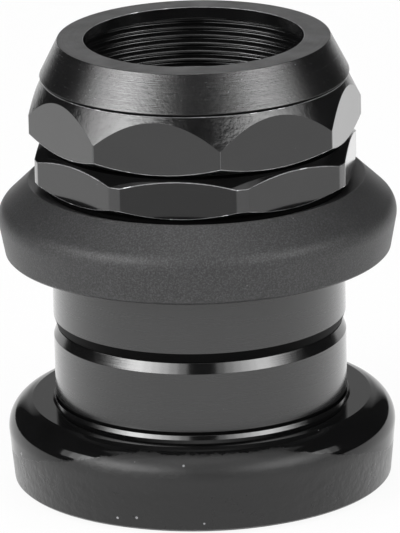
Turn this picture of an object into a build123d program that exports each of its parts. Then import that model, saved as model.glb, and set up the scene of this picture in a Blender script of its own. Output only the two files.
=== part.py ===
from build123d import *
from math import cos, pi, radians, sin, sqrt, tan
import os

# Threaded bicycle headset. Millimetres, +Z up, steering axis on Z, standing on its crown race at z = 0.

# The whole headset, as it stands
overall_h = 53.3

# Steerer and the parts that fit round it
steerer_d = 28.6
steerer_wall = 1.6
crown_seat_step = 1.4
steerer_room = 1.1
insert_wall = 1.65

# Ball bearings, the same above and below: balls of 5/32 inch
ball_d = 3.969
ball_count = 20
track_gap = 0.12
crown_wall = 0.9

# Retainer rings
ring_t = 0.5
ring_width = 0.75
ring_floor_gap = 0.35
ring_ball_gap = 0.09
finger_t = 0.5
finger_drop = 0.9
finger_gap = 0.23

# Lower cup
skirt_lift = 0.5
lower_cup_h = 9.5
lower_skirt_wall = 0.85
lower_skirt_step = 1.1
lower_skirt_taper = 5.4
lower_land = 2.75
lower_shoulder_fall = 16
lower_shoulder_round = 3.3
step_w = 0.35
step_h = 0.5
step_slope = 21
undercut_d = 0.25
undercut_h = 0.3

# Both cups; their inserts meet at a share of the way from seat to seat
lower_insert_share = 0.5215
cup_floor = 1.8
cup_wall = 0.8
cup_rim = 0.6
lead_in_len = 1.25
lead_in_d = 0.45
skirt_chamfer = 0.25

# Crown race and its seal
crown_foot_h = 0.8
crown_foot_gap = 0.6
crown_land = 1.7
hub_reach = 0.15
seal_h = 1.8
seal_foot = 0.8
seal_lip_h = 0.4
seal_gap = 0.25
seal_fit = 0.05

# Both nuts
flat_count = 8
nut_wall = 3.7
nut_chamfer = 35
nut_face_inset = 0.35
nut_gap = 0.25

# Adjusting race
race_flange_h = 1.0
race_flange_land = 1.4
race_collar_h = 2.0
race_collar_inset = 0.6
race_head_h = 4.9
race_corner_trim = 0.28
race_turn = 15.6

# Dust cover
cover_wall = 1.15
cover_skirt_gap = 0.38
cover_hole_fit = 0.15
cover_flange_room = 0.35
cover_sink = 0.55
cover_rim_gap = 0.4
cover_rim_rise = 0.15
cover_drop = 3.57
cover_taper = 10.2
cover_round = 2.5
head_tube_gap = 0.45

# Keyed washer
washer_t = 1.0
washer_fit = 0.3
washer_inset = 1.6
washer_room = 0.2
key_w = 4.0
key_reach = 1.2

# Locknut
locknut_turn = 8.1
corner_edge_h = 2.08
lip_h = 1.4
lip_fit = 0.05
ring_h = 4.25
ring_top_inset = 2.2
ring_margin = 0.05
groove_h = 0.35
groove_d = 0.25
cone_angle = 25.5

# Radii worked out from the sizes above
steerer_r = steerer_d / 2
crown_seat_r = (steerer_d + crown_seat_step) / 2
bore_r = steerer_r + steerer_room
insert_r = bore_r + insert_wall
ball_r = ball_d / 2
track_r = ball_r + track_gap
hub_r = crown_seat_r + crown_wall
pitch_r = hub_r + track_r
track_wall_r = pitch_r + track_r
upper_flange_r = track_wall_r + cup_wall
cover_in_r = upper_flange_r + cover_skirt_gap
cover_skirt_r = cover_in_r + cover_wall
lower_in_r = track_wall_r + lower_skirt_step
lower_skirt_r = lower_in_r + lower_skirt_wall
flat_r = steerer_r + nut_wall
corner_r = flat_r / cos(pi / flat_count)
race_corner_r = corner_r - race_corner_trim
nut_face_r = flat_r - nut_face_inset
collar_r = flat_r - race_collar_inset
race_flange_r = pitch_r + race_flange_land
cover_rim_r = race_corner_r + cover_rim_gap
washer_r = flat_r - washer_inset
ring_r = flat_r - ring_margin
cone_r = ring_r - groove_d


def chamfer_rise(radius):
    """Height that a nut's chamfer climbs from the edge of its end face out to a radius."""
    return (radius - nut_face_r) * tan(radians(nut_chamfer))


# Heights worked out from the sizes above: down from the top, then up from the foot
ring_z = overall_h - ring_h
cone_z = ring_z - groove_h
corner_z = cone_z - (corner_r - cone_r) / tan(radians(cone_angle))
edge_z = corner_z - corner_edge_h
locknut_z = edge_z - chamfer_rise(corner_r)
race_top_z = locknut_z - nut_gap
washer_top_z = race_top_z + washer_t
race_head_z = race_top_z - race_head_h
race_collar_z = race_head_z - race_collar_h
race_flange_z = race_collar_z - race_flange_h
upper_ball_z = race_flange_z - track_r
upper_floor_z = upper_ball_z - track_r
upper_seat_z = upper_floor_z - cup_floor
cover_edge_z = upper_seat_z + head_tube_gap
cover_rim_z = race_head_z + cover_rim_rise
cover_shoulder_z = cover_rim_z - cover_drop
lower_seat_z = skirt_lift + lower_cup_h
lower_floor_z = lower_seat_z - cup_floor
lower_ball_z = lower_floor_z - track_r
insert_joint_z = lower_seat_z + lower_insert_share * (upper_seat_z - lower_seat_z)


def turned(*corners):
    """Solid turned about Z. A corner of its section is (radius, height) or (radius, height, rounding)."""
    points = [corner[:2] for corner in corners]
    roundings = [corner[2] if len(corner) == 3 else 0 for corner in corners]
    section = make_face(FilletPolyline(*points, radius=roundings, close=True))
    return revolve(Plane.XZ * section, Axis.Z)


def with_flats(blank, bottom, top, turn):
    """Cut the spanner flats round a turned blank between two heights."""
    octagon = RegularPolygon(flat_r, flat_count, major_radius=False, rotation=turn)
    outside = Circle(2 * corner_r) - octagon
    return blank - Pos(0, 0, bottom) * extrude(outside, top - bottom)


def locknut():
    lip_r = steerer_r - steerer_wall + lip_fit
    lip_z = overall_h - lip_h
    blank = turned(
        (lip_r, overall_h),
        (flat_r - ring_top_inset, overall_h),
        (ring_r, ring_z),
        (cone_r, ring_z),
        (cone_r, cone_z),
        (corner_r, corner_z),
        (corner_r, edge_z),
        (nut_face_r, locknut_z),
        (washer_r + washer_room, locknut_z),
        (washer_r + washer_room, washer_top_z),
        (steerer_r, washer_top_z),
        (steerer_r, lip_z),
        (lip_r, lip_z),
    )
    return with_flats(blank, locknut_z, cone_z, locknut_turn)


def keyed_washer():
    washer_bore_r = steerer_r + washer_fit
    disc = Circle(washer_r) - Circle(washer_bore_r)
    key_len = key_reach + washer_r - washer_bore_r
    key = Pos(-washer_bore_r + key_reach, 0) * Rectangle(key_len, key_w, align=(Align.MAX, Align.CENTER))
    return Pos(0, 0, race_top_z) * extrude(disc + (key & Circle(washer_r)), washer_t)


def adjusting_race():
    blank = turned(
        (steerer_r, race_top_z),
        (nut_face_r, race_top_z),
        (race_corner_r, race_top_z - chamfer_rise(race_corner_r)),
        (race_corner_r, race_head_z + chamfer_rise(race_corner_r)),
        (nut_face_r, race_head_z),
        (collar_r, race_head_z),
        (collar_r, race_collar_z),
        (race_flange_r, race_collar_z),
        (race_flange_r, race_flange_z),
        (hub_r, race_flange_z, track_r),
        (hub_r, upper_ball_z - hub_reach),
        (steerer_r, upper_ball_z - hub_reach),
    )
    return with_flats(blank, race_head_z, race_top_z, race_turn)


def dust_cover():
    shoulder_r = cover_skirt_r + (cover_shoulder_z - cover_edge_z) * tan(radians(cover_taper))
    hole_r = collar_r + cover_hole_fit
    return turned(
        (hole_r, race_collar_z),
        (race_flange_r + cover_flange_room, race_collar_z),
        (cover_in_r, cover_shoulder_z),
        (cover_in_r, cover_edge_z),
        (cover_skirt_r - skirt_chamfer, cover_edge_z),
        (cover_skirt_r, cover_edge_z + skirt_chamfer),
        (shoulder_r, cover_shoulder_z, cover_round),
        (cover_rim_r, cover_rim_z),
        (hole_r, race_head_z - cover_sink),
    )


def upper_cup():
    rim_z = upper_ball_z + cup_rim
    return turned(
        (bore_r, insert_joint_z),
        (insert_r - lead_in_d, insert_joint_z),
        (insert_r, insert_joint_z + lead_in_len),
        (insert_r, upper_seat_z),
        (upper_flange_r, upper_seat_z),
        (upper_flange_r, rim_z),
        (track_wall_r, rim_z),
        (track_wall_r, upper_floor_z, track_r),
        (bore_r, upper_floor_z),
    )


def lower_cup():
    rim_z = lower_ball_z - cup_rim
    step_z = lower_seat_z + step_h
    step_top_r = insert_r + step_w - step_h * tan(radians(step_slope))
    land_r = insert_r + lower_land
    fall = tan(radians(lower_shoulder_fall))
    taper = tan(radians(lower_skirt_taper))
    shoulder_r = (lower_skirt_r + taper * (lower_cup_h + fall * land_r)) / (1 + taper * fall)
    shoulder_z = lower_seat_z - fall * (shoulder_r - land_r)
    return turned(
        (bore_r, insert_joint_z),
        (insert_r - lead_in_d, insert_joint_z),
        (insert_r, insert_joint_z - lead_in_len),
        (insert_r, step_z + undercut_h),
        (insert_r - undercut_d, step_z + undercut_h),
        (insert_r - undercut_d, step_z),
        (step_top_r, step_z),
        (insert_r + step_w, lower_seat_z),
        (land_r, lower_seat_z),
        (shoulder_r, shoulder_z, lower_shoulder_round),
        (lower_skirt_r, skirt_lift + skirt_chamfer),
        (lower_skirt_r - skirt_chamfer, skirt_lift),
        (lower_in_r, skirt_lift),
        (lower_in_r, rim_z),
        (track_wall_r, rim_z),
        (track_wall_r, lower_floor_z, track_r),
        (bore_r, lower_floor_z),
    )


def crown_race():
    land_z = lower_ball_z - track_r
    foot_r = lower_in_r - crown_foot_gap
    return turned(
        (crown_seat_r, 0),
        (foot_r, 0),
        (foot_r, crown_foot_h),
        (pitch_r + crown_land, crown_foot_h),
        (pitch_r + crown_land, land_z),
        (hub_r, land_z, track_r),
        (hub_r, lower_ball_z + hub_reach),
        (crown_seat_r, lower_ball_z + hub_reach),
    )


def lower_seal():
    inner_r = pitch_r + crown_land + seal_fit
    lip_r = lower_in_r - seal_gap
    top_z = crown_foot_h + seal_h
    return turned(
        (inner_r, crown_foot_h),
        (inner_r + seal_foot, crown_foot_h),
        (lip_r, top_z - seal_lip_h),
        (lip_r, top_z),
        (inner_r, top_z),
    )


def retainer():
    """Pressed ring above the ball circle, with a finger bent down between each two balls."""
    ring_z = track_r - ring_floor_gap - ring_t
    ring_r = pitch_r - sqrt((ball_r + ring_ball_gap) ** 2 - ring_z**2)
    ring_middle_r = ring_r - ring_width / 2
    finger_w = 2 * (pitch_r * sin(pi / ball_count) - ball_r - finger_gap)
    finger_len = pitch_r + finger_t - ring_middle_r
    inner_end = (Align.MIN, Align.CENTER)
    finger = Pos(ring_middle_r, 0) * Rectangle(finger_len, finger_w, align=inner_end)
    leg = Pos(pitch_r, 0) * Rectangle(finger_t, finger_w, align=inner_end)
    between_balls = PolarLocations(0, ball_count, start_angle=180 / ball_count)
    ring = Circle(ring_r) - Circle(ring_r - ring_width) + [place * finger for place in between_balls]
    legs = Sketch() + [place * leg for place in between_balls]
    bent = Pos(0, 0, -finger_drop) * extrude(legs, ring_z + finger_drop)
    return Pos(0, 0, ring_z) * extrude(ring, ring_t) + bent


pieces = {
    "locknut": locknut(),
    "keyed_washer": keyed_washer(),
    "adjusting_race": adjusting_race(),
    "dust_cover": dust_cover(),
    "upper_cup": upper_cup(),
    "lower_cup": lower_cup(),
    "crown_race": crown_race(),
    "lower_seal": lower_seal(),
    "upper_retainer": Pos(0, 0, upper_ball_z) * Rot(180, 0, 0) * retainer(),
    "lower_retainer": Pos(0, 0, lower_ball_z) * retainer(),
}
for number, place in enumerate(PolarLocations(pitch_r, ball_count), 1):
    pieces[f"upper_ball_{number:02d}"] = Pos(0, 0, upper_ball_z) * place * Sphere(ball_r)
    pieces[f"lower_ball_{number:02d}"] = Pos(0, 0, lower_ball_z) * place * Sphere(ball_r)

os.makedirs("parts", exist_ok=True)
for name, piece in pieces.items():
    export_step(piece, f"parts/{name}.step")
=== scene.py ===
from collections import namedtuple
from math import acos, cos, floor, pi, radians, sin, tan

import bpy
from mathutils import Matrix, Vector


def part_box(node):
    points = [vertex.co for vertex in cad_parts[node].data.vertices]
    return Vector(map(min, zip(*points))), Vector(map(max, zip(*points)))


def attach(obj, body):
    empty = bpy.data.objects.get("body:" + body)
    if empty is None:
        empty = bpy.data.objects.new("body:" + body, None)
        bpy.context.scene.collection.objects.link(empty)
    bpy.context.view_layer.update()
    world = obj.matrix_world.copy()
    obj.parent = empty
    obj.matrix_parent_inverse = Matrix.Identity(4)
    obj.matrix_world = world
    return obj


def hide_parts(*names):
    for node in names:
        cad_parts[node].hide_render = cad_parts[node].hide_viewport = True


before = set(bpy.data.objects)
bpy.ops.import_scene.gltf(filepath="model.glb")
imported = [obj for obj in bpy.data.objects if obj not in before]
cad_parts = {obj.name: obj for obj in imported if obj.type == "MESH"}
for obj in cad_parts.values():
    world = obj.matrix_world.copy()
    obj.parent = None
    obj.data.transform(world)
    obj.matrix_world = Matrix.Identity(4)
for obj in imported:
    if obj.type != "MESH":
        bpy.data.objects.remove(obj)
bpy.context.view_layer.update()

# Sizes of the headset's pieces in mm, as the solids have them
MM = 0.001
steerer_r = 14.3
bore_r = 15.4
insert_r = 17.05
crown_seat_r = 15.0
hub_r = 15.9
track_r = 2.1045
pitch_r = hub_r + track_r
track_wall_r = pitch_r + track_r
cup_floor = 1.8
cup_wall = 0.8
cup_rim = 0.6
lead_in_h = 1.25
lead_in_d = 0.45
skirt_chamfer = 0.25

flat_count = 8
flat_angle = 2 * pi / flat_count
flat_r = 18.0
corner_r = flat_r / cos(flat_angle / 2)
race_corner_cut = 0.28
race_corner_r = corner_r - race_corner_cut
nut_face_r = 17.65
nut_chamfer = tan(radians(35))
locknut_turn = radians(8.1)
race_turn = radians(15.6)

lip_r = 12.75
lip_h = 1.4
washer_seat_r = 16.6
ring_top_r = 15.8
ring_r = 17.95
ring_h = 4.25
cone_r = 17.7
groove_h = 0.35
cone_slope = tan(radians(25.5))

race_head_h = 4.9
race_collar_h = 2.0
race_collar_r = 17.4
race_flange_h = 1.0
race_flange_reach = 1.4
race_flange_r = pitch_r + race_flange_reach

cover_in_r = 21.289
cover_skirt_r = 22.439
cover_hole_r = 17.55
cover_drop = 3.57
cover_sink = 0.55
cover_taper = tan(radians(10.2))
cover_round = 2.5
cover_rim_gap = 0.4
cover_rim_r = race_corner_r + cover_rim_gap
cover_flange_gap = 0.35
cover_flange_r = race_flange_r + cover_flange_gap

lower_cup_h = 9.5
skirt_gap = 1.1
skirt_wall = 0.85
lower_in_r = track_wall_r + skirt_gap
lower_skirt_r = lower_in_r + skirt_wall
skirt_taper = tan(radians(5.4))
land_w = 2.75
land_r = insert_r + land_w
shoulder_fall = tan(radians(16))
shoulder_round = 3.3
step_w = 0.35
step_r = insert_r + step_w
step_h = 0.5
step_slope = tan(radians(21))
undercut_d = 0.25
undercut_r = insert_r - undercut_d
undercut_h = 0.3

crown_foot_h = 0.8
crown_foot_reach = 0.5
crown_foot_r = track_wall_r + crown_foot_reach
crown_land_reach = 1.7
crown_land_r = pitch_r + crown_land_reach
hub_reach = 0.15

thread_pitch = 0.977
thread_depth = 0.53


def span(node):
    """Lowest and highest z of a solid, in mm."""
    low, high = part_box(node)
    return low.z / MM, high.z / MM


locknut_z, locknut_top = span("locknut")
washer_top = span("keyed_washer")[1]
race_z, race_top = span("adjusting_race")
cover_z, cover_top = span("dust_cover")
joint_z, upper_rim = span("upper_cup")
skirt_z, lower_top = span("lower_cup")
crown_z, crown_top = span("crown_race")


# Finishes

# Which of a Mix node's sockets take and give colours
colour_a = 6
colour_b = 7
colour_out = 2


class Value:
    """A value carried by a socket in a finish's nodes; sums and products of it add Math nodes."""

    def __init__(self, finish, socket):
        self.finish = finish
        self.socket = socket

    def math(self, operation, *terms, clamp=False):
        settings = {"operation": operation, "use_clamp": clamp}
        return self.finish.node("ShaderNodeMath", settings, dict(enumerate(terms)))

    def __add__(self, other):
        return self.math("ADD", self, other)

    def __mul__(self, other):
        return self.math("MULTIPLY", self, other)

    def __sub__(self, other):
        return self.math("SUBTRACT", self, other)

    def __rsub__(self, other):
        return self.math("SUBTRACT", other, self)

    __radd__ = __add__
    __rmul__ = __mul__

    def over(self, limit, width):
        """0 below a limit and 1 above it, over a soft width."""
        return self.math("DIVIDE", self - limit, width, clamp=True)


def between(low, high, share):
    """From low to high, as a share goes from 0 to 1."""
    return low + (high - low) * share


def grey(level):
    """A grey a little on the cold side."""
    cold = 1.03
    return (level, level, level * cold)


class Finish:
    """A material, or the room round the headset, and the nodes that make it."""

    def __init__(self, name, kind=bpy.data.materials):
        self.owner = kind.new(name)
        self.owner.use_nodes = True
        self.tree = self.owner.node_tree
        self.tree.nodes.clear()

    def node(self, kind, settings, inputs, output=0):
        """A node of a kind, with its settings, and the values or links of its sockets."""
        made = self.tree.nodes.new(kind)
        for key, setting in settings.items():
            setattr(made, key, setting)
        for key, value in inputs.items():
            if isinstance(value, Value):
                self.tree.links.new(value.socket, made.inputs[key])
            else:
                made.inputs[key].default_value = value
        return Value(self, made.outputs[output]) if made.outputs else None

    def place(self):
        """Where a point lies on the piece, in metres."""
        return self.node("ShaderNodeTexCoord", {}, {}, "Object")

    def square_place(self):
        """Where a point lies on the piece along x, y and z."""
        apart = self.node("ShaderNodeSeparateXYZ", {}, {0: self.place()})
        return [Value(self, out) for out in apart.socket.node.outputs]

    def round_place(self):
        """Distance from the steering axis, angle about it and height."""
        x, y, z = self.square_place()
        square = x * x + y * y
        return square.math("SQRT", square), y.math("ARCTAN2", y, x), z

    def ray(self, kind):
        """1 for a ray of light of that kind, and 0 for others."""
        return self.node("ShaderNodeLightPath", {}, {}, kind)

    def noise(self, scale, detail=2.0, roughness=0.5, where=None):
        """Cloudy noise from 0 to 1, about a half in the middle."""
        inputs = {"Scale": scale, "Detail": detail, "Roughness": roughness}
        inputs["Vector"] = where or self.place()
        return self.node("ShaderNodeTexNoise", {}, inputs)

    def turning_marks(self, scale, drift=1.5):
        """Fine grooves left by a cutting tool, running round the piece."""
        radius, angle, z = self.round_place()
        along = {0: radius * scale, 1: angle * drift, 2: z * scale}
        where = self.node("ShaderNodeCombineXYZ", {}, along)
        return self.noise(scale=1.0, detail=3.0, roughness=0.6, where=where)

    def specks(self, scale, share, size=0.07):
        """Small points in a share of the cells that fill the piece: 1 on a speck and 0 elsewhere."""
        soft_edge = size / 2
        soft_choice = share / 10
        inputs = {"Vector": self.place(), "Scale": scale}
        from_middle = self.node("ShaderNodeTexVoronoi", {"feature": "F1"}, inputs)
        cell_colour = Value(self, from_middle.socket.node.outputs["Color"])
        chance = self.node("ShaderNodeSeparateColor", {}, {0: cell_colour})
        near = 1 - from_middle.over(limit=size, width=soft_edge)
        return near * chance.over(limit=1 - share, width=soft_choice)

    def mix(self, factor, first, second):
        """From the first colour to the second, as the factor goes from 0 to 1."""
        inputs = {0: factor}
        for key, colour in ((colour_a, first), (colour_b, second)):
            inputs[key] = (*colour, 1) if isinstance(colour, tuple) else colour
        return self.node("ShaderNodeMix", {"data_type": "RGBA"}, inputs, colour_out)

    def dusty(self, base, dust, weight):
        """A base colour with pale dust on it."""
        return self.mix(dust * weight, base, grey(0.4))

    def bump(self, height, depth_mm):
        return self.node("ShaderNodeBump", {}, {"Height": height, "Distance": depth_mm * MM})

    def surface(self, **sockets):
        """The finished material, from the sockets of its shader."""
        inputs = {name.replace("_", " "): value for name, value in sockets.items()}
        shader = self.node("ShaderNodeBsdfPrincipled", {}, inputs)
        self.node("ShaderNodeOutputMaterial", {}, {"Surface": shader})
        return self.owner


def corner_highlight(f, turn, half_width):
    """1 on the upright corners between a nut's flats, out to a half width, and 0 elsewhere: where a
    highlight is painted on the corners.
    """
    soft = radians(0.1)
    angle = f.round_place()[1]
    share = angle.math("FRACT", (angle - turn) * (1 / flat_angle))
    from_corner = share.math("MINIMUM", share, 1 - share) * flat_angle
    return 1 - from_corner.over(limit=half_width, width=soft)


def lacquer(f, coat, painted_highlight):
    """Glossy black lacquer on a nut, under a clear top coat, painted lighter grey on its corners as a
    highlight.
    """
    clouds = f.noise(scale=260, detail=3.0)
    peel = f.noise(scale=2600)
    dust = f.specks(scale=1500, share=0.02)
    black = f.mix(clouds, grey(0.003), grey(0.007))
    base = f.dusty(black, dust, weight=0.2)
    return f.surface(
        # The corner mask paints the corners lighter grey: a painted highlight.
        Base_Color=f.mix(painted_highlight, base, grey(0.4)),
        Roughness=between(0.1, 0.18, clouds),
        Normal=f.bump(peel, depth_mm=0.002),
        Specular_IOR_Level=0.4,
        Coat_Weight=coat,
        Coat_IOR=1.45,
        Coat_Roughness=0.12,
    )


def black_lacquer():
    """Lacquer on the locknut's flats, with a thin painted highlight on its corners."""
    f = Finish("black_lacquer")
    highlight_strength = 0.14
    corner_half = radians(0.06)
    coat = between(1, 0.8, f.noise(scale=60))
    return lacquer(f, coat, highlight_strength * corner_highlight(f, locknut_turn, corner_half))


def race_lacquer():
    """Lacquer on the adjusting race's flats, dull on the flat that the spanner took, with its narrow
    corner facets painted a little lighter as a highlight.
    """
    f = Finish("race_lacquer")
    highlight_strength = 0.03
    dull_coat = 0.1
    dull_flat = radians(-96.9)
    dull_half = radians(20.2)
    soft = radians(0.4)
    angle = f.round_place()[1]
    off_middle = angle.math("ABSOLUTE", angle - dull_flat)
    coat = between(dull_coat, 1, off_middle.over(limit=dull_half, width=soft))
    corner_half = flat_angle / 2 - acos(flat_r / race_corner_r)
    return lacquer(f, coat, highlight_strength * corner_highlight(f, race_turn, corner_half))


def turned_lacquer():
    """Lacquer on the locknut's cone, which has run a little over the turned steel."""
    f = Finish("turned_lacquer")
    marks_relief = 0.2
    runs_rough = 0.16
    marks = f.turning_marks(scale=6000)
    clouds = f.noise(scale=500, detail=4.0, roughness=0.65)
    runs = f.noise(scale=1100, detail=4.0, roughness=0.65)
    return f.surface(
        Base_Color=f.mix(clouds, grey(0.003), grey(0.008)),
        Roughness=between(0.06, 0.14, marks) + runs_rough * runs,
        Normal=f.bump(marks_relief * marks + runs, depth_mm=0.04),
        Specular_IOR_Level=0.75,
    )


def worn_edge():
    """Light grey along an edge: lacquer worn and chipped through to the steel in places, and a painted
    highlight for the light the edge catches.
    """
    f = Finish("worn_edge")
    patch_share = 0.45
    worn_and_highlit_patches = f.noise(scale=400, detail=4.0, roughness=0.65).over(limit=0.3, width=0.4)
    chips = f.specks(scale=900, share=0.1, size=0.45)
    bare_and_highlit = worn_and_highlit_patches.math("MAXIMUM", worn_and_highlit_patches * patch_share, chips)
    return f.surface(
        # The light grey is partly steel showing through and partly a painted highlight along the edge.
        Base_Color=f.mix(bare_and_highlit, grey(0.03), grey(0.75)),
        Roughness=between(0.3, 0.4, bare_and_highlit),
        Specular_IOR_Level=0.8,
    )


def turned_black():
    """Blackened, pitted steel on the locknut's ring."""
    f = Finish("turned_black")
    marks_relief = 0.5
    pits_rough = 0.2
    marks = f.turning_marks(scale=9000)
    clouds = f.noise(scale=420, detail=4.0, roughness=0.65)
    pits = f.noise(scale=2400, detail=4.0, roughness=0.7)
    black = f.mix(clouds, grey(0.003), grey(0.01))
    dust = f.specks(scale=1300, share=0.05)
    return f.surface(
        Base_Color=f.dusty(black, dust, weight=0.3),
        Roughness=between(0.06, 0.2, marks) + pits_rough * pits,
        Normal=f.bump(marks_relief * marks + pits, depth_mm=0.022),
        Specular_IOR_Level=1.0,
    )


def faced_black():
    """Blackened steel on the locknut's top face, patchy and dusty."""
    f = Finish("faced_black")
    marks = f.turning_marks(scale=7000)
    clouds = f.noise(scale=300, detail=4.0, roughness=0.65)
    patches = f.mix(clouds.over(limit=0.35, width=0.3), grey(0.004), grey(0.05))
    dust = f.specks(scale=1300, share=0.06)
    return f.surface(
        Base_Color=f.dusty(patches, dust, weight=0.4),
        Roughness=between(0.3, 0.42, marks),
        Normal=f.bump(marks, depth_mm=0.003),
    )


def grooved(name, scale, tones, roughness, depth_mm, **sockets):
    """A plain turned surface, with fine grooves in its tone, its roughness and its relief."""
    f = Finish(name)
    marks = f.turning_marks(scale)
    darkest, lightest = tones
    smoothest, roughest = roughness
    return f.surface(
        Base_Color=f.mix(marks, grey(darkest), grey(lightest)),
        Roughness=between(smoothest, roughest, marks),
        Normal=f.bump(marks, depth_mm),
        **sockets,
    )


def bright_cut():
    return grooved(
        "bright_cut",
        scale=7000,
        tones=(0.002, 0.006),
        roughness=(0.08, 0.16),
        depth_mm=0.002,
        Specular_IOR_Level=1.0,
    )


def thread_black():
    return grooved(
        "thread_black",
        scale=12000,
        tones=(0.003, 0.007),
        roughness=(0.1, 0.2),
        depth_mm=0.003,
        Specular_IOR_Level=1.0,
    )


# A black that reflects almost nothing, so the gap between the tubes, the locknut's groove and the
# undersides read as shade: painted shade.
def dull_black():
    return grooved(
        "dull_black",
        scale=5000,
        tones=(0.002, 0.004),
        roughness=(0.4, 0.5),
        depth_mm=0.003,
        Specular_IOR_Level=0.03,
    )


def ground_steel():
    return grooved(
        "ground_steel",
        scale=9000,
        tones=(0.34, 0.5),
        roughness=(0.2, 0.36),
        depth_mm=0.003,
        Metallic=1.0,
    )


def insert_satin():
    """Satin black on the tubes that are pressed into the head tube."""
    f = Finish("insert_satin")
    marks = f.turning_marks(scale=6000, drift=0.6)
    clouds = f.noise(scale=180, detail=3.0)
    black = f.mix(clouds, grey(0.005), grey(0.01))
    dust = f.specks(scale=1600, share=0.015)
    return f.surface(
        Base_Color=f.dusty(black, dust, weight=0.2),
        Roughness=between(0.24, 0.32, marks),
        Normal=f.bump(marks, depth_mm=0.0004),
        Specular_IOR_Level=0.5,
        Coat_Weight=1.0,
        Coat_IOR=1.5,
        Coat_Roughness=0.15,
    )


def gloss_black():
    """Glossy black on chamfers and on what the covers hide."""
    f = Finish("gloss_black")
    clouds = f.noise(scale=320, detail=4.0, roughness=0.6)
    peel = f.noise(scale=900)
    black = f.mix(clouds, grey(0.002), grey(0.005))
    dust = f.specks(scale=1300, share=0.02)
    return f.surface(
        Base_Color=f.dusty(black, dust, weight=0.2),
        Roughness=between(0.07, 0.11, clouds),
        Normal=f.bump(peel, depth_mm=0.0006),
        Specular_IOR_Level=0.5,
    )


def cup_coat():
    """Black coat on the lower cup: glossy down to a ragged line on the bend, satin below it.

    The line lies highest at the front and the back, and runs down onto the skirt at the sides.
    The satin is mottled, and duller on the bend than on the skirt.
    """
    f = Finish("cup_coat")
    line_depth = 2.6
    line_wave = 3.0 * MM
    line_rise = 2.1 * MM
    ragged = 1.2 * MM
    soft = 0.14 * MM
    bend_depth = 5.2
    bend_soft = 1.6 * MM
    gloss_rough = 0.08
    bend_rough = 0.22
    middle = 0.5
    seat_z = skirt_z + lower_cup_h
    line_z = (seat_z - line_depth) * MM
    bend_z = (seat_z - bend_depth) * MM
    clouds = f.noise(scale=320, detail=4.0, roughness=0.6)
    peel = f.noise(scale=900, detail=4.0, roughness=0.6)
    angle, height = f.round_place()[1:]
    sway = angle.math("COSINE", 2 * angle)
    fall = sway.math("MAXIMUM", line_wave * sway, -line_rise)
    rough_edge = f.noise(scale=480, detail=5.0, roughness=0.7) - middle
    line = line_z - fall + ragged * rough_edge
    satin = 1 - (height - line).over(limit=-soft, width=2 * soft)
    bend = height.over(limit=bend_z, width=bend_soft)
    satin_rough = between(0.1, 0.34, clouds) + bend_rough * bend
    black = f.mix(clouds, grey(0.002), grey(0.006))
    dust = f.specks(scale=900, share=0.03, size=0.12)
    return f.surface(
        Base_Color=f.dusty(black, dust, weight=0.7),
        Roughness=gloss_rough + satin * satin_rough,
        Normal=f.bump((peel - middle) * satin, depth_mm=0.14),
        Specular_IOR_Level=0.45,
        Coat_Weight=satin * between(0.6, 0.8, bend),
        Coat_IOR=1.33,
        Coat_Roughness=0.36,
    )


def cover_plastic():
    """Matte plastic with a fine grain on the dust cover, the grain's high points painted lighter as
    glints.
    """
    f = Finish("cover_plastic")
    grain = f.noise(scale=5000, detail=3.0, roughness=0.75)
    clouds = f.noise(scale=240, detail=3.0)
    plain = f.mix(clouds, grey(0.01), grey(0.018))
    # Lighter grey on the grain's high points is a painted glint, not a colour of the plastic.
    grain_and_glints = f.mix(grain.over(limit=0.44, width=0.24), plain, grey(0.06))
    dust = f.specks(scale=1100, share=0.03)
    return f.surface(
        Base_Color=f.dusty(grain_and_glints, dust, weight=0.3),
        Roughness=between(0.48, 0.62, grain),
        Normal=f.bump(grain, depth_mm=0.05),
        Specular_IOR_Level=0.5,
        Coat_Weight=0.5,
        Coat_IOR=1.3,
        Coat_Roughness=0.36,
    )


def pressed_steel():
    f = Finish("pressed_steel")
    clouds = f.noise(scale=700, detail=4.0, roughness=0.6)
    return f.surface(
        Base_Color=f.mix(clouds, grey(0.3), grey(0.48)),
        Metallic=1.0,
        Roughness=between(0.26, 0.46, clouds),
        Normal=f.bump(clouds, depth_mm=0.01),
    )


def ball_steel():
    f = Finish("ball_steel")
    haze = f.noise(scale=900)
    return f.surface(
        Base_Color=f.mix(haze, grey(0.62), grey(0.7)),
        Metallic=1.0,
        Roughness=between(0.04, 0.1, haze),
    )


def seal_rubber():
    f = Finish("seal_rubber")
    grain = f.noise(scale=2800, detail=3.0)
    return f.surface(
        Base_Color=f.mix(grain, grey(0.012), grey(0.022)),
        Roughness=between(0.6, 0.75, grain),
        Normal=f.bump(grain, depth_mm=0.015),
    )


finishes = {
    make.__name__: make()
    for make in (
        black_lacquer,
        race_lacquer,
        turned_lacquer,
        worn_edge,
        turned_black,
        faced_black,
        bright_cut,
        thread_black,
        dull_black,
        ground_steel,
        insert_satin,
        gloss_black,
        cup_coat,
        cover_plastic,
        pressed_steel,
        ball_steel,
        seal_rubber,
    )
}


# Turned pieces

# A corner of a closed section: its place, the finish of the run after it, the radius of its rounding,
# the finish of the rounding if it has its own, and any points along the run
Corner = namedtuple("Corner", "radius height finish rounding edge along", defaults=(0, None, ()))

# A run of a section: its first point, the ways it goes at its two ends, and its finish
Run = namedtuple("Run", "point first last finish")

up = Vector((0, 0, 1))


def rounding_reaches(wanted, lengths):
    """How far each rounding goes along its two runs, which neighbours share where they want more."""
    count = len(wanted)
    reaches = []
    for k, reach in enumerate(wanted):
        for run, neighbour in ((k - 1, k - 1), (k, (k + 1) % count)):
            both = wanted[k] + wanted[neighbour]
            if both > lengths[run]:
                reach = min(reach, lengths[run] * wanted[k] / both)
        reaches.append(reach)
    return reaches


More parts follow.
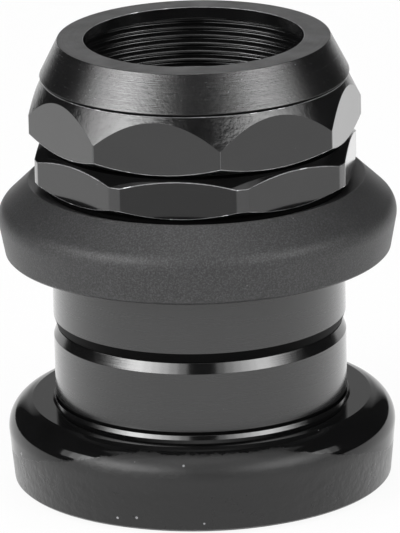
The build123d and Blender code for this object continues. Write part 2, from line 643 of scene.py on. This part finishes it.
def rounded(corners, steps):
    """The runs of a closed section, with its corners rounded in a number of steps."""
    first_share = 0.35
    count = len(corners)
    points = [Vector((corner.radius, corner.height)) for corner in corners]
    sides = [points[(k + 1) % count] - points[k] for k in range(count)]
    ways = [side.normalized() for side in sides]
    turns = [ways[k - 1].angle(ways[k]) for k in range(count)]
    wanted = [corner.rounding * tan(turn / 2) for corner, turn in zip(corners, turns)]
    reaches = rounding_reaches(wanted, [side.length for side in sides])
    starts = [points[k] - ways[k - 1] * reaches[k] for k in range(count)]
    ends = [points[k] + ways[k] * reaches[k] for k in range(count)]
    runs = []
    for k, corner in enumerate(corners):
        if corner.rounding:
            radius = reaches[k] / tan(turns[k] / 2)
            way = ways[k - 1]
            inward = (ways[k] - way * cos(turns[k])).normalized()
            for step in range(steps):
                a = turns[k] * step / steps
                b = turns[k] * (step + 1) / steps
                point = starts[k] + way * radius * sin(a) + inward * radius * (1 - cos(a))
                first = way * cos(a) + inward * sin(a)
                last = way * cos(b) + inward * sin(b)
                finish = corners[k - 1].finish if step < first_share * steps else corner.finish
                runs.append(Run(point, first, last, corner.edge or finish))
        along = [ends[k]]
        along += [Vector(point) for point in corner.along]
        along.append(starts[(k + 1) % count])
        for m in range(len(along) - 1):
            first = along[m + 1] - along[max(m - 1, 0)]
            last = along[min(m + 2, len(along) - 1)] - along[m]
            runs.append(Run(along[m], first, last, corner.finish))
    return runs


def all_round(runs):
    """A section that is the same at every angle."""
    return lambda angle: runs


def new_piece(name, vertices, faces):
    mesh = bpy.data.meshes.new(name)
    mesh.from_pydata(vertices, [], faces)
    piece = bpy.data.objects.new(name, mesh)
    bpy.context.scene.collection.objects.link(piece)
    return piece


def stood_up(flat, out):
    """What lies flat in a section, stood up in the direction out from the axis."""
    return out * flat.x + up * flat.y


def turned_piece(node, body, section, angles):
    """A piece turned about the steering axis, in place of its plain solid."""
    nudge = radians(0.02)
    vertices = []
    first_normals = []
    last_normals = []
    for angle in angles:
        out = Vector((cos(angle), sin(angle), 0))
        side = Vector((-sin(angle), cos(angle), 0))
        runs = section(angle)
        before = section(angle - nudge)
        after = section(angle + nudge)
        ring = len(runs)
        round_ways = []
        for k in range(ring):
            slope = (after[k].point - before[k].point) / (2 * nudge)
            round_ways.append(stood_up(slope, out) + side * runs[k].point.x)
        for k, run in enumerate(runs):
            vertices.append(stood_up(run.point, out) * MM)
            first = round_ways[k].cross(stood_up(run.first, out))
            last = round_ways[(k + 1) % ring].cross(stood_up(run.last, out))
            first_normals.append(first.normalized())
            last_normals.append(last.normalized())
    inward = sum(runs[k - 1].point.cross(runs[k].point) for k in range(ring)) < 0
    faces = []
    shading = []
    for i in range(len(angles)):
        here = i * ring
        there = (i + 1) % len(angles) * ring
        for k in range(ring):
            m = (k + 1) % ring
            face = [here + k, there + k, there + m, here + m]
            lit = [first_normals[here + k], first_normals[there + k]]
            lit += [last_normals[there + k], last_normals[here + k]]
            if inward:
                face.reverse()
                lit = [-normal for normal in reversed(lit)]
            faces.append(face)
            shading += lit
    piece = new_piece(node + "_turned", vertices, faces)
    mesh = piece.data
    names = [run.finish for run in runs]
    used = sorted(set(names))
    for name in used:
        mesh.materials.append(finishes[name])
    mesh.polygons.foreach_set("material_index", [used.index(name) for name in names] * len(angles))
    mesh.polygons.foreach_set("use_smooth", [True] * len(faces))
    mesh.normals_split_custom_set(shading)
    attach(piece, body)
    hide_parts(node)


round_steps = 224
round_angles = [2 * pi * step / round_steps for step in range(round_steps)]


def nut_angles(turn, limit):
    """Angles round a nut, closer together where its flats end."""
    steps = 26
    digits = 5
    clear = radians(1)
    near_step = radians(0.16)
    near_count = 4
    near = [near_step * step for step in range(-near_count, near_count + 1)]
    edge = flat_angle / 2 - acos(min(flat_r / limit, 1))
    sector = {round(flat_angle * step / steps, digits) for step in range(steps)}
    for place in {round(edge, digits + 1), round(flat_angle - edge, digits + 1)}:
        sector -= {a for a in sector if abs(a - place) < clear}
        sector |= {round((place + step) % flat_angle, digits) for step in near}
    return [turn + flat_angle * flat + a for flat in range(flat_count) for a in sorted(sector)]


def nut_radius(angle, turn, limit):
    """Distance from the axis to a nut's spanner flats, with the corners between them a little soft."""
    soft = radians(0.4)
    samples = 7
    total = 0
    for step in range(samples):
        a = angle - turn + soft * (2 * step / (samples - 1) - 1)
        from_middle = a % flat_angle - flat_angle / 2
        total += min(flat_r / cos(from_middle), limit)
    return total / samples


def thread(angle, low, high):
    """Points down a bore with a right-hand thread, which fades out at both ends."""
    rows_per_turn = 11
    root = 0.14
    flank = 0.72
    fade_in = 0.7
    fade_out = 0.5
    rows = round(rows_per_turn * (high - low) / thread_pitch)
    points = []
    for row in range(1, rows):
        z = low + (high - low) * row / rows
        turn = z / thread_pitch - angle / (2 * pi)
        slope = 1 - abs(2 * (turn - floor(turn)) - 1)
        ridge = min(max((slope - root) / flank, 0), 1)
        fade = min(1, (z - low) / fade_in, (high - z) / fade_out)
        points.append((steerer_r - thread_depth * ridge * fade, z))
    return points


def locknut_section(angle):
    """The locknut: lip, ring, groove, cone, flats and threaded bore."""
    r = nut_radius(angle, locknut_turn, corner_r)
    ring_z = locknut_top - ring_h
    cone_z = ring_z - groove_h
    lip_z = locknut_top - lip_h
    flat_top = cone_z - (r - cone_r) / cone_slope
    flat_z = locknut_z + (r - nut_face_r) * nut_chamfer
    return rounded([
        Corner(lip_r, locknut_top, "faced_black", rounding=0.07, edge="worn_edge"),
        Corner(ring_top_r, locknut_top, "turned_black", rounding=0.1),
        Corner(ring_r, ring_z, "dull_black", rounding=0.05),
        Corner(cone_r, ring_z, "dull_black"),
        Corner(cone_r, cone_z, "turned_lacquer", rounding=0.13, edge="worn_edge"),
        Corner(r, flat_top, "black_lacquer", rounding=0.07),
        Corner(r, flat_z, "gloss_black", rounding=0.12, edge="worn_edge"),
        Corner(nut_face_r, locknut_z, "dull_black", rounding=0.08),
        Corner(washer_seat_r, locknut_z, "thread_black", rounding=0.06),
        Corner(washer_seat_r, washer_top, "thread_black"),
        Corner(steerer_r, washer_top, "thread_black", along=thread(angle, washer_top, lip_z)),
        Corner(steerer_r, lip_z, "thread_black"),
        Corner(lip_r, lip_z, "thread_black", rounding=0.1),
    ], steps=4)


def race_section(angle):
    """The adjusting race: flats, collar, flange, ball track and threaded bore."""
    r = nut_radius(angle, race_turn, race_corner_r)
    head_z = race_top - race_head_h
    collar_z = head_z - race_collar_h
    flange_z = collar_z - race_flange_h
    rise = (r - nut_face_r) * nut_chamfer
    return rounded([
        Corner(steerer_r, race_top, "dull_black"),
        Corner(nut_face_r, race_top, "gloss_black", rounding=0.1),
        Corner(r, race_top - rise, "race_lacquer", rounding=0.12, edge="worn_edge"),
        Corner(r, head_z + rise, "gloss_black", rounding=0.1, edge="worn_edge"),
        Corner(nut_face_r, head_z, "dull_black", rounding=0.08),
        Corner(race_collar_r, head_z, "dull_black"),
        Corner(race_collar_r, collar_z, "dull_black"),
        Corner(race_flange_r, collar_z, "dull_black", rounding=0.08),
        Corner(race_flange_r, flange_z, "ground_steel", rounding=0.08),
        Corner(hub_r, flange_z, "ground_steel", rounding=track_r),
        Corner(hub_r, race_z, "thread_black", rounding=0.08),
        Corner(steerer_r, race_z, "thread_black", along=thread(angle, race_z, race_top)),
    ], steps=6)


def cover_section():
    """The dust cover: a cone with a rounded shoulder and a tapered skirt, round the race's collar."""
    shoulder_z = cover_top - cover_drop
    shoulder_r = cover_skirt_r + (shoulder_z - cover_z) * cover_taper
    head_z = race_top - race_head_h
    collar_z = head_z - race_collar_h
    return rounded([
        Corner(cover_hole_r, collar_z, "cover_plastic", rounding=0.05),
        Corner(cover_flange_r, collar_z, "cover_plastic", rounding=0.2),
        Corner(cover_in_r, shoulder_z, "cover_plastic", rounding=0.3),
        Corner(cover_in_r, cover_z, "cover_plastic", rounding=0.1),
        Corner(cover_skirt_r - skirt_chamfer, cover_z, "cover_plastic", rounding=0.12),
        Corner(cover_skirt_r, cover_z + skirt_chamfer, "cover_plastic", rounding=0.12),
        Corner(shoulder_r, shoulder_z, "cover_plastic", rounding=cover_round),
        Corner(cover_rim_r, cover_top, "cover_plastic", rounding=0.15),
        Corner(cover_hole_r, head_z - cover_sink, "cover_plastic", rounding=0.06),
    ], steps=12)


def upper_cup_section():
    """The upper cup: the tube that goes into the head tube, and the ball track over it."""
    floor_z = upper_rim - cup_rim - track_r
    seat_z = floor_z - cup_floor
    return rounded([
        # The lead-in's faces get the shade black: painted shade for the gap between the tubes.
        Corner(bore_r, joint_z, "dull_black", rounding=0.15),
        Corner(insert_r - lead_in_d, joint_z, "dull_black", rounding=0.15),
        Corner(insert_r, joint_z + lead_in_h, "insert_satin", rounding=0.2, edge="bright_cut"),
        Corner(insert_r, seat_z, "insert_satin"),
        Corner(track_wall_r + cup_wall, seat_z, "gloss_black", rounding=0.12),
        Corner(track_wall_r + cup_wall, upper_rim, "gloss_black", rounding=0.12),
        Corner(track_wall_r, upper_rim, "ground_steel", rounding=0.08),
        Corner(track_wall_r, floor_z, "ground_steel", rounding=track_r),
        Corner(bore_r, floor_z, "dull_black", rounding=0.15),
    ], steps=8)


def lower_cup_section():
    """The lower cup: its tube, a small step and a land round it, shoulder, skirt and ball track."""
    seat_z = skirt_z + lower_cup_h
    floor_z = seat_z - cup_floor
    rim_z = floor_z - track_r - cup_rim
    step_z = seat_z + step_h
    undercut_z = step_z + undercut_h
    level = lower_skirt_r + skirt_taper * (lower_cup_h + shoulder_fall * land_r)
    shoulder_r = level / (1 + skirt_taper * shoulder_fall)
    shoulder_z = seat_z - shoulder_fall * (shoulder_r - land_r)
    return rounded([
        Corner(bore_r, lower_top, "dull_black", rounding=0.15),
        Corner(insert_r - lead_in_d, lower_top, "bright_cut", rounding=0.12),
        Corner(insert_r, lower_top - lead_in_h, "insert_satin", rounding=0.1),
        Corner(insert_r, undercut_z, "dull_black", rounding=0.08),
        Corner(undercut_r, undercut_z, "dull_black"),
        Corner(undercut_r, step_z, "gloss_black"),
        Corner(step_r - step_h * step_slope, step_z, "bright_cut", rounding=0.06),
        Corner(step_r, seat_z, "gloss_black"),
        Corner(land_r, seat_z, "cup_coat", rounding=0.1),
        Corner(shoulder_r, shoulder_z, "cup_coat", rounding=shoulder_round),
        Corner(lower_skirt_r, skirt_z + skirt_chamfer, "cup_coat", rounding=0.12),
        Corner(lower_skirt_r - skirt_chamfer, skirt_z, "cup_coat", rounding=0.12),
        Corner(lower_in_r, skirt_z, "cup_coat", rounding=0.1),
        Corner(lower_in_r, rim_z, "gloss_black"),
        Corner(track_wall_r, rim_z, "ground_steel", rounding=0.08),
        Corner(track_wall_r, floor_z, "ground_steel", rounding=track_r),
        Corner(bore_r, floor_z, "dull_black", rounding=0.15),
    ], steps=12)


def crown_section():
    """The crown race: a foot, a land for the seal, the ball track and the hub."""
    land_z = crown_top - hub_reach - track_r
    foot_z = crown_z + crown_foot_h
    return rounded([
        Corner(crown_seat_r, crown_z, "ground_steel", rounding=0.2),
        Corner(crown_foot_r, crown_z, "ground_steel", rounding=0.15),
        Corner(crown_foot_r, foot_z, "ground_steel", rounding=0.1),
        Corner(crown_land_r, foot_z, "ground_steel"),
        Corner(crown_land_r, land_z, "ground_steel", rounding=0.1),
        Corner(hub_r, land_z, "ground_steel", rounding=track_r),
        Corner(hub_r, crown_top, "ground_steel", rounding=0.1),
        Corner(crown_seat_r, crown_top, "ground_steel", rounding=0.15),
    ], steps=8)


locknut_angles = nut_angles(locknut_turn, corner_r)
race_angles = nut_angles(race_turn, race_corner_r)
turned_piece("locknut", "top_race", locknut_section, locknut_angles)
turned_piece("adjusting_race", "top_race", race_section, race_angles)
turned_piece("dust_cover", "top_race", all_round(cover_section()), round_angles)
turned_piece("upper_cup", "cups", all_round(upper_cup_section()), round_angles)
turned_piece("lower_cup", "cups", all_round(lower_cup_section()), round_angles)
turned_piece("crown_race", "crown", all_round(crown_section()), round_angles)

# The balls, retainers, washer and seal keep their solids
for name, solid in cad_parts.items():
    if "ball" in name:
        finish = "ball_steel"
    elif "seal" in name:
        finish = "seal_rubber"
    else:
        finish = "pressed_steel"
    solid.data.materials.clear()
    solid.data.materials.append(finishes[finish])


# Studio, in metres: a roll of white paper on a grey table, soft boxes and a dark room

aim = Vector((0.00015, 0, 0.02548))
white = (1.0, 1.0, 1.0)
far_paper_shade = (0.42, 0.42, 0.42)
table_grey = (0.1, 0.1, 0.1)
table_light = (0.14, 0.14, 0.14)
room_grey = (0.025, 0.025, 0.025)


def stage_finish(name, paint):
    """A stage material: white to the camera, its own colour in reflections, and lit otherwise."""
    glow_share = 0.93
    f = Finish(name)
    colour = paint(f)
    camera_ray = f.ray("Is Camera Ray")
    seen = camera_ray
    for kind in ("Is Glossy Ray", "Is Transmission Ray"):
        seen = seen.math("MAXIMUM", seen, f.ray(kind))
    glow = f.node("ShaderNodeEmission", {}, {"Color": f.mix(camera_ray, colour, white)})
    lit = f.node("ShaderNodeBsdfDiffuse", {}, {"Color": colour})
    both = f.node("ShaderNodeMixShader", {}, {0: seen * glow_share, 1: lit, 2: glow})
    f.node("ShaderNodeOutputMaterial", {}, {"Surface": both})
    return f.owner


def white_paper(f):
    """White where the headset stands, with painted shade up the bend behind it and towards its edges,
    where less lamp light would fall.
    """
    widening = 0.1
    x, y, z = f.square_place()
    # The grey up the bend, to the sides and up top is painted shade for light falling off away from
    # the lamps.
    bend = f.mix(z.over(limit=0.15, width=0.375), white, far_paper_shade)
    aside = x.math("ABSOLUTE", x) - widening * y
    side_falloff_shade = aside.over(limit=0.3, width=0.33)
    top_falloff_shade = z.over(limit=0.75, width=0.35)
    return f.mix(side_falloff_shade.math("MAXIMUM", side_falloff_shade, top_falloff_shade), bend, table_grey)


def grey_table(f):
    return f.mix(f.noise(scale=3), table_grey, table_light)


def stage_piece(name, vertices, faces, material):
    piece = new_piece(name, vertices, faces)
    piece.data.materials.append(material)


def lay_paper():
    """White paper that lies under the headset and turns up behind it."""
    half_width = 0.9
    front = -0.6
    bend_y = 1.8
    bend_r = 0.45
    top = 1.1
    bend_steps = 12
    line = [(front, 0.0)]
    for step in range(bend_steps + 1):
        a = pi / 2 * step / bend_steps
        line.append((bend_y + bend_r * sin(a), bend_r * (1 - cos(a))))
    line.append((bend_y + bend_r, top))
    vertices = [(x, y, z) for y, z in line for x in (-half_width, half_width)]
    faces = [(2 * k, 2 * k + 1, 2 * k + 3, 2 * k + 2) for k in range(len(line) - 1)]
    stage_piece("paper", vertices, faces, stage_finish("white_paper", white_paper))


def set_table():
    """A wide table just under the paper."""
    half = 3.0
    z = -0.002
    corners = [(-half, -half, z), (half, -half, z), (half, half, z), (-half, half, z)]
    stage_piece("table", corners, [(0, 1, 2, 3)], stage_finish("grey_table", grey_table))


def soft_box(name, azimuth, elevation, width, peak, box_height=0.3):
    """Area lamps facing the headset, one over another, so that the box is brightest in the middle.

    Azimuth is to the viewer's right of the camera, and width is the angle that the box fills.
    """
    layers = 6
    layer_gap = 0.004
    lamp_distance = 0.8
    a = radians(azimuth)
    e = radians(elevation)
    way = Vector((sin(a) * cos(e), -cos(a) * cos(e), sin(e)))
    for layer in range(layers):
        layer_angle = radians(width) * (1 - layer / layers)
        lamp = bpy.data.lights.new(f"{name}_{layer}", "AREA")
        lamp.shape = "RECTANGLE"
        lamp.size = 2 * lamp_distance * tan(layer_angle / 2)
        lamp.size_y = box_height
        lamp.energy = peak / layers * pi * lamp.size * lamp.size_y
        box = bpy.data.objects.new(f"{name}_{layer}", lamp)
        box.location = aim + way * (lamp_distance + layer_gap * layer)
        box.rotation_euler = way.to_track_quat("Z", "Y").to_euler()
        box.visible_camera = False
        bpy.context.scene.collection.objects.link(box)


lay_paper()
set_table()
soft_box("left_box", azimuth=-53, elevation=25, width=78, peak=9.2)
soft_box("right_box", azimuth=51, elevation=25, width=72, peak=6.5)
soft_box("back_box", azimuth=180, elevation=46, width=26, peak=5.0)
soft_box("top_box", azimuth=0, elevation=76, width=70, peak=2.0, box_height=0.7)

room = Finish("room", bpy.data.worlds)
room_colour = room.mix(room.ray("Is Camera Ray"), room_grey, white)
background = room.node("ShaderNodeBackground", {}, {"Color": room_colour})
room.node("ShaderNodeOutputWorld", {}, {"Surface": background})
bpy.context.scene.world = room.owner

# Camera, at the photograph's viewing angle
elevation = radians(17.4)
roll = radians(-1.3)
distance = 0.874
camera = bpy.data.objects.new("camera", bpy.data.cameras.new("camera"))
camera.data.lens = 507
camera.data.sensor_width = 36
away = Vector((0, -cos(elevation), sin(elevation)))
facing = away.to_track_quat("Z", "Y").to_matrix().to_4x4()
rolled = facing @ Matrix.Rotation(roll, 4, "Z")
camera.matrix_world = Matrix.Translation(aim + away * distance) @ rolled
bpy.context.scene.collection.objects.link(camera)
bpy.context.scene.camera = camera
bpy.context.scene.view_settings.view_transform = "Standard"
